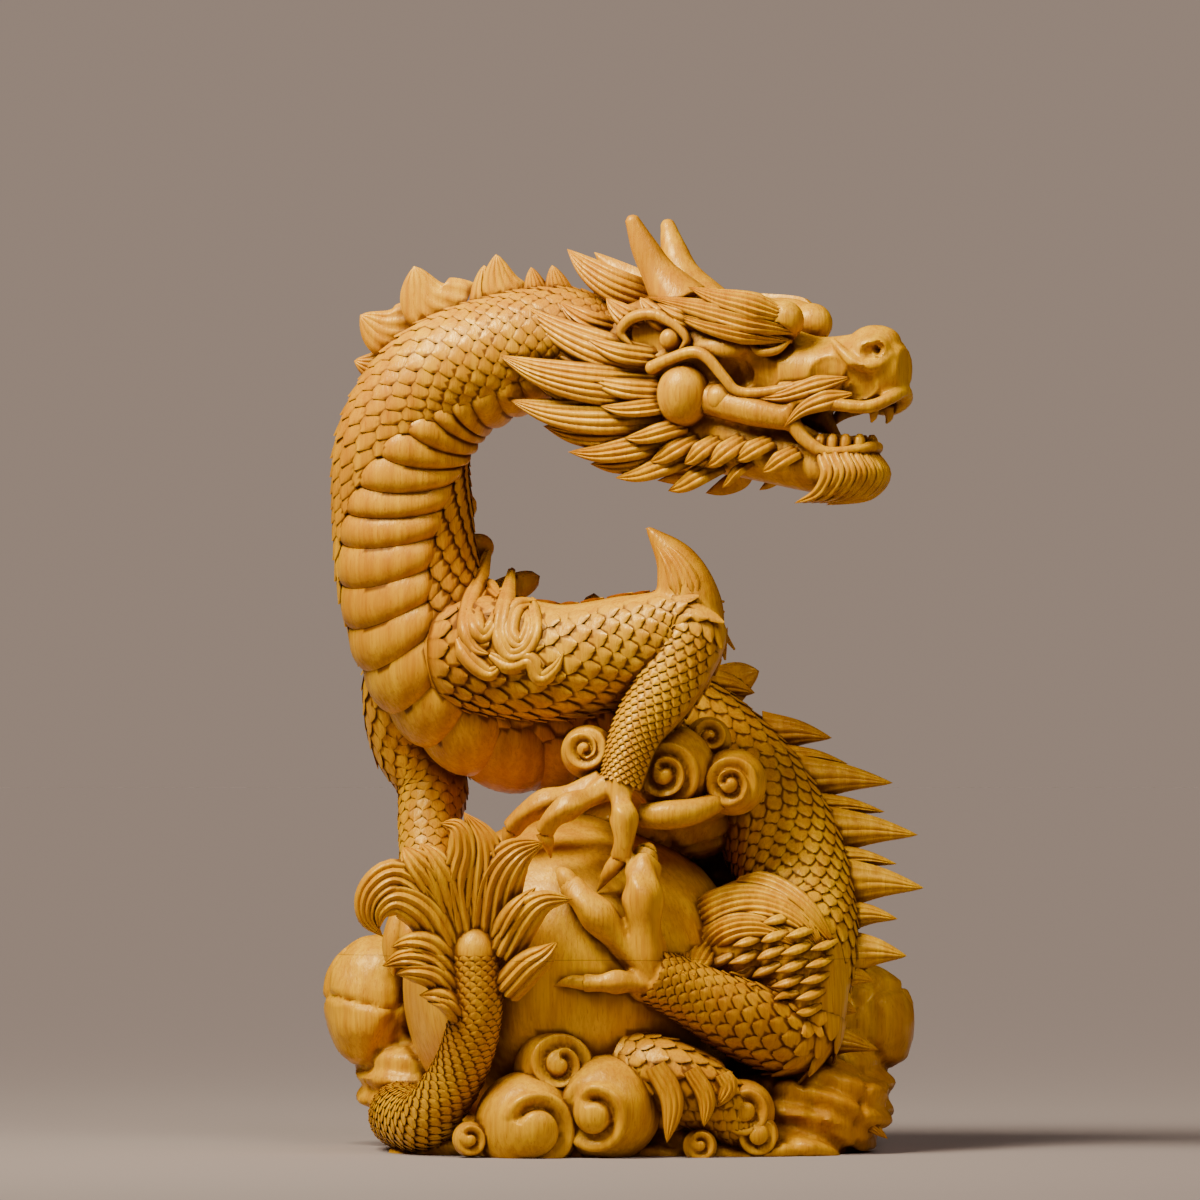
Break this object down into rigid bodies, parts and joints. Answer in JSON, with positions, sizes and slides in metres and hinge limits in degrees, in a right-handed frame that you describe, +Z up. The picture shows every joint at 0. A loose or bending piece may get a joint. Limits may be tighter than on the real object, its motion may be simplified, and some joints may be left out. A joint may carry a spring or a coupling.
{
  "type": "dragon sculpture",
  "caption": "Carved wooden dragon with arched neck and open jaws, coiled over a ball on a bank of scroll clouds and rock; stands on its flat underside.",
  "frame": {"origin": "on the flat underside, below the right side of the ball", "axes": "+Z up, -Y towards the viewer of the picture, +X to the viewer's right, the way the head looks"},
  "size_m": [0.1276, 0.0967, 0.2003],
  "materials": {
    "carved_wood": "waxed, satin"
  },
  "bodies": {
    "root": {"dragon_carving": "carved_wood"}
  },
  "joints": []
}
